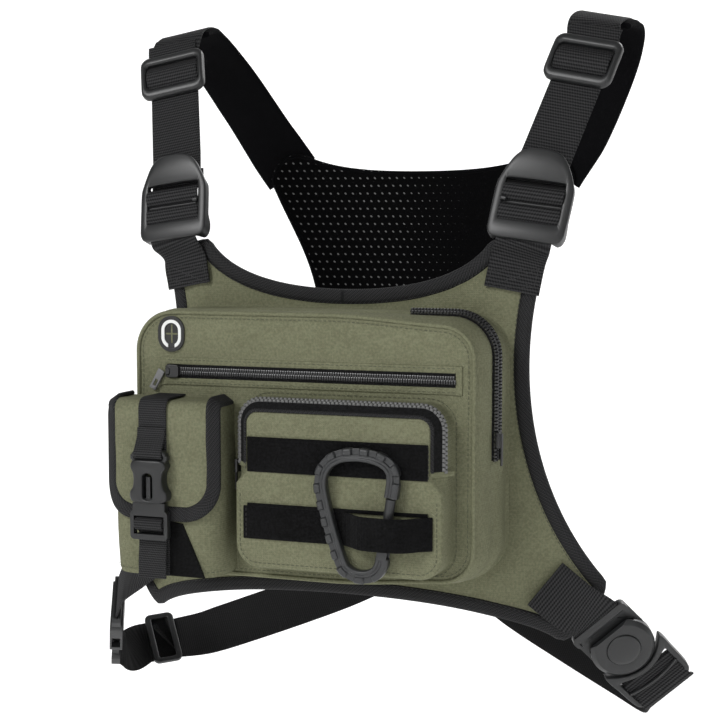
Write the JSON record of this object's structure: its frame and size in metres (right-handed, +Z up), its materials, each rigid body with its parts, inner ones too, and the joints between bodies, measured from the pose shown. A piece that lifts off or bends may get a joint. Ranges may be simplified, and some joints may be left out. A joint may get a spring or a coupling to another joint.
{
  "type": "safety harness vest",
  "caption": "Chest rig vest with a padded front panel, zipped pockets, a flap pouch, a carabiner, buckled shoulder straps, a back panel and a waist strap.",
  "frame": {"origin": "centre of the wearer's torso, level with the middle of the front panel's flat part", "axes": "+Z up along the torso, -Y out of the chest, +X towards the right of someone facing the front"},
  "size_m": [0.4779, 0.3002, 0.5244],
  "materials": {
    "olive_fabric": "matt coated weave",
    "foam": "open foam",
    "lining": "mesh",
    "binding": "herringbone tape",
    "webbing": "ribbed webbing",
    "loop_fabric": "brushed loop",
    "neoprene": "knit-faced neoprene",
    "zipper": "coil",
    "slider_plastic": "satin",
    "port_rubber": "matt",
    "white_ring": "gloss",
    "carabiner_finish": "satin black",
    "steel_pin": "brushed",
    "buckle_plastic": "fine grain"
  },
  "bodies": {
    "vest": {"front_panel_shell": "olive_fabric", "front_panel_foam": "foam", "front_panel_lining": "lining", "front_panel_binding": "binding", "main_pocket_front": "olive_fabric", "main_pocket_piping": "olive_fabric", "main_gusset_front": "olive_fabric", "main_gusset_rear": "olive_fabric", "main_zipper_chain": "zipper", "front_zip_chain": "zipper", "front_zip_bag": "lining", "earphone_port": "port_rubber", "earphone_ring": "white_ring", "small_pocket_front": "olive_fabric", "small_pocket_gusset": "olive_fabric", "small_zip_chain": "zipper", "loop_strap_upper": "loop_fabric", "loop_strap_lower": "loop_fabric", "pouch_body": "olive_fabric", "pouch_side_patch": "webbing", "pouch_flap_hem": "olive_fabric", "pouch_web": "webbing", "shoulder_anchor_left": "webbing", "shoulder_anchor_right": "webbing", "shoulder_web_left": "webbing", "shoulder_web_right": "webbing", "shoulder_pad_left": "neoprene", "shoulder_pad_right": "neoprene", "back_panel": "neoprene", "waist_anchor_left": "webbing", "waist_anchor_right": "webbing", "waist_female_left": "buckle_plastic", "waist_base_right": "buckle_plastic", "waist_strap_left": "webbing", "waist_strap_right": "webbing"},
    "main_zip_slider": {"main_zip_slider": "slider_plastic"},
    "front_zip_slider": {"front_zip_slider": "slider_plastic"},
    "front_zip_pull": {"front_zip_pull": "slider_plastic"},
    "small_zip_slider": {"small_zip_slider": "slider_plastic"},
    "carabiner": {"carabiner_body": "carabiner_finish", "carabiner_pin": "steel_pin"},
    "carabiner_gate": {"carabiner_gate": "carabiner_finish"},
    "pouch_flap": {"pouch_flap": "olive_fabric", "pouch_flap_binding": "binding", "flap_web": "webbing", "pouch_buckle_female": "buckle_plastic"},
    "pouch_buckle_male": {"pouch_buckle_male": "buckle_plastic", "buckle_tail": "webbing"},
    "ladder_lock_left": {"ladder_lock_left": "buckle_plastic", "lock_web_left": "webbing"},
    "ladder_lock_right": {"ladder_lock_right": "buckle_plastic", "lock_web_right": "webbing"},
    "tri_glide_left": {"tri_glide_left": "buckle_plastic", "glide_web_left": "webbing"},
    "tri_glide_right": {"tri_glide_right": "buckle_plastic", "glide_web_right": "webbing"},
    "waist_male_left": {"waist_male_left": "buckle_plastic"},
    "waist_glide_left": {"waist_glide_left": "buckle_plastic"},
    "waist_tongue_right": {"waist_tongue_right": "buckle_plastic"},
    "waist_button_right": {"waist_button_right": "buckle_plastic"}
  },
  "joints": [
    {"name": "main_zip", "type": "slide", "parent": "vest", "child": "main_zip_slider", "axis": [0, 0, 1], "range_m": [0, 0.048]},
    {"name": "front_zip", "type": "slide", "parent": "vest", "child": "front_zip_slider", "axis": [1, 0, 0], "range_m": [0, 0.195]},
    {"name": "front_zip_pull_lift", "type": "hinge", "parent": "front_zip_slider", "child": "front_zip_pull", "pos_m": [-0.114, -0.1609, 0.0035], "axis": [0.8746, 0, -0.4848], "range_deg": [-80, 0]},
    {"name": "small_zip", "type": "slide", "parent": "vest", "child": "small_zip_slider", "axis": [0, 0, 1], "range_m": [0, 0.025]},
    {"name": "carabiner_swing", "type": "hinge", "parent": "vest", "child": "carabiner", "pos_m": [0.059, -0.1898, -0.116], "axis": [0.1465, 0, 0.9892], "range_deg": [0, 45]},
    {"name": "gate_open", "type": "hinge", "parent": "carabiner", "child": "carabiner_gate", "pos_m": [0.06046, -0.1898, -0.10611], "axis": [0, -1, 0], "range_deg": [0, 20], "stiffness_Nm_per_rad": 0.02},
    {"name": "flap_open", "type": "hinge", "parent": "vest", "child": "pouch_flap", "pos_m": [-0.099, -0.166, -0.01475], "axis": [-1, 0, 0], "range_deg": [0, 90]},
    {"name": "pouch_buckle_release", "type": "slide", "parent": "vest", "child": "pouch_buckle_male", "axis": [0, 0, -1], "range_m": [0, 0.025]},
    {"name": "ladder_lock_left_tilt", "type": "hinge", "parent": "vest", "child": "ladder_lock_left", "pos_m": [-0.1315, -0.1006, 0.098], "axis": [0.991, -0.03, 0.1301], "range_deg": [0, 12]},
    {"name": "ladder_lock_right_tilt", "type": "hinge", "parent": "vest", "child": "ladder_lock_right", "pos_m": [0.1315, -0.1006, 0.098], "axis": [0.991, 0.03, -0.1301], "range_deg": [0, 12]},
    {"name": "tri_glide_left_slide", "type": "slide", "parent": "vest", "child": "tri_glide_left", "axis": [-0.2435, 0.4291, 0.8698], "range_m": [-0.008, 0.006]},
    {"name": "tri_glide_right_slide", "type": "slide", "parent": "vest", "child": "tri_glide_right", "axis": [0.2435, 0.4291, 0.8698], "range_m": [-0.008, 0.006]},
    {"name": "waist_buckle_left_release", "type": "slide", "parent": "vest", "child": "waist_male_left", "axis": [-0.3421, 0.5899, -0.7314], "range_m": [0, 0.007]},
    {"name": "waist_glide_left_slide", "type": "slide", "parent": "vest", "child": "waist_glide_left", "axis": [0.7919, 0.6033, 0.0943], "range_m": [0, 0.008]},
    {"name": "waist_tongue_right_release", "type": "slide", "parent": "vest", "child": "waist_tongue_right", "axis": [0.5192, 0.5192, -0.6789], "range_m": [0, 0.008]},
    {"name": "waist_button_right_press", "type": "slide", "parent": "vest", "child": "waist_button_right", "axis": [-0.4304, 0.8451, 0.3172], "range_m": [0, 0.001], "stiffness_N_per_m": 400}
  ]
}
